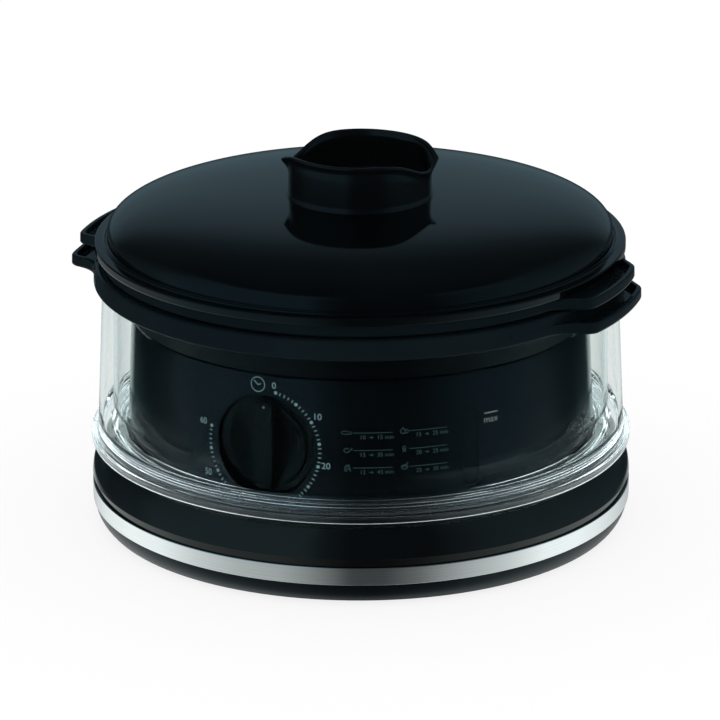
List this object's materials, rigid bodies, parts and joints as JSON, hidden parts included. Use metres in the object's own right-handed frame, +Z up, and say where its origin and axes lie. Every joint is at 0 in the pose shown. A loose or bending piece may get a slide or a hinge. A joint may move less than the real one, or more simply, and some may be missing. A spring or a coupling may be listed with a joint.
{
  "type": "electric food steamer",
  "caption": "Round electric food steamer in its storage stack: domed lid with cup handle, clear nested bowls with side handles, black base with steel band and timer knob.",
  "frame": {"origin": "on the table under the centre line of the base", "axes": "+Z up, -Y the front with the timer knob, the handles on +X and -X"},
  "size_m": [0.2776, 0.26, 0.1823],
  "materials": {
    "black_gloss": "polished black",
    "black_satin": "fine satin black",
    "panel_plastic": "gloss blue-black",
    "knob_plastic": "satin black",
    "grey_plastic": "moulded grey",
    "white_plastic": "moulded natural white",
    "clear": "clear moulded plastic",
    "steel": "brushed lengthwise",
    "plated": "nickel plated",
    "screw_steel": "zinc plated",
    "rubber": "matte",
    "wire": "insulated"
  },
  "bodies": {
    "base": {"bottom_cover": "black_satin", "feet": "rubber", "steel_band": "steel", "base_skirt": "black_gloss", "cover_screws": "screw_steel", "cord_gland": "black_satin", "column_housing": "panel_plastic", "dial_panel": "panel_plastic", "level_window": "clear", "timer_body": "grey_plastic", "timer_screws": "screw_steel", "tank_floor": "grey_plastic", "tank_wall": "grey_plastic", "tank_lip": "grey_plastic", "element_seal": "rubber", "heater_plate": "plated", "heating_element": "plated", "heater_screws": "screw_steel", "thermostat": "plated", "thermal_fuse": "plated", "terminal_block": "white_plastic", "internal_wires": "wire"},
    "knob": {"timer_knob": "knob_plastic", "timer_shaft": "screw_steel"},
    "turbo": {"turbo_ring": "white_plastic"},
    "tray": {"tray_floor": "black_satin", "tray_wall": "black_satin", "tray_chimney": "black_satin"},
    "bowl_1": {"bowl_1_foot": "clear", "bowl_1_wall": "clear", "bowl_1_rim": "black_gloss"},
    "bowl_2": {"bowl_2_foot": "clear", "bowl_2_wall": "clear", "bowl_2_rim": "black_gloss"},
    "grids": {"grid_1": "black_satin", "grid_2": "black_satin"},
    "cover": {"lid": "black_gloss", "lid_handle": "black_gloss", "lid_handle_screw": "screw_steel"}
  },
  "joints": [
    {"name": "timer_turn", "type": "hinge", "parent": "base", "child": "knob", "pos_m": [0, -0.1052, 0.0691], "axis": [0, 1, 0], "range_deg": [0, 296]},
    {"name": "turbo_lift", "type": "slide", "parent": "base", "child": "turbo", "axis": [0, 0, 1], "range_m": [0, 0.09]},
    {"name": "tray_lift", "type": "slide", "parent": "turbo", "child": "tray", "axis": [0, 0, 1], "range_m": [0, 0.03]},
    {"name": "bowl_1_lift", "type": "slide", "parent": "tray", "child": "bowl_1", "axis": [0, 0, 1], "range_m": [0, 0.09]},
    {"name": "bowl_2_lift", "type": "slide", "parent": "bowl_1", "child": "bowl_2", "axis": [0, 0, 1], "range_m": [0, 0.09]},
    {"name": "grids_lift", "type": "slide", "parent": "bowl_2", "child": "grids", "axis": [0, 0, 1], "range_m": [0, 0.04]},
    {"name": "lid_lift", "type": "slide", "parent": "grids", "child": "cover", "axis": [0, 0, 1], "range_m": [0, 0.08]}
  ]
}
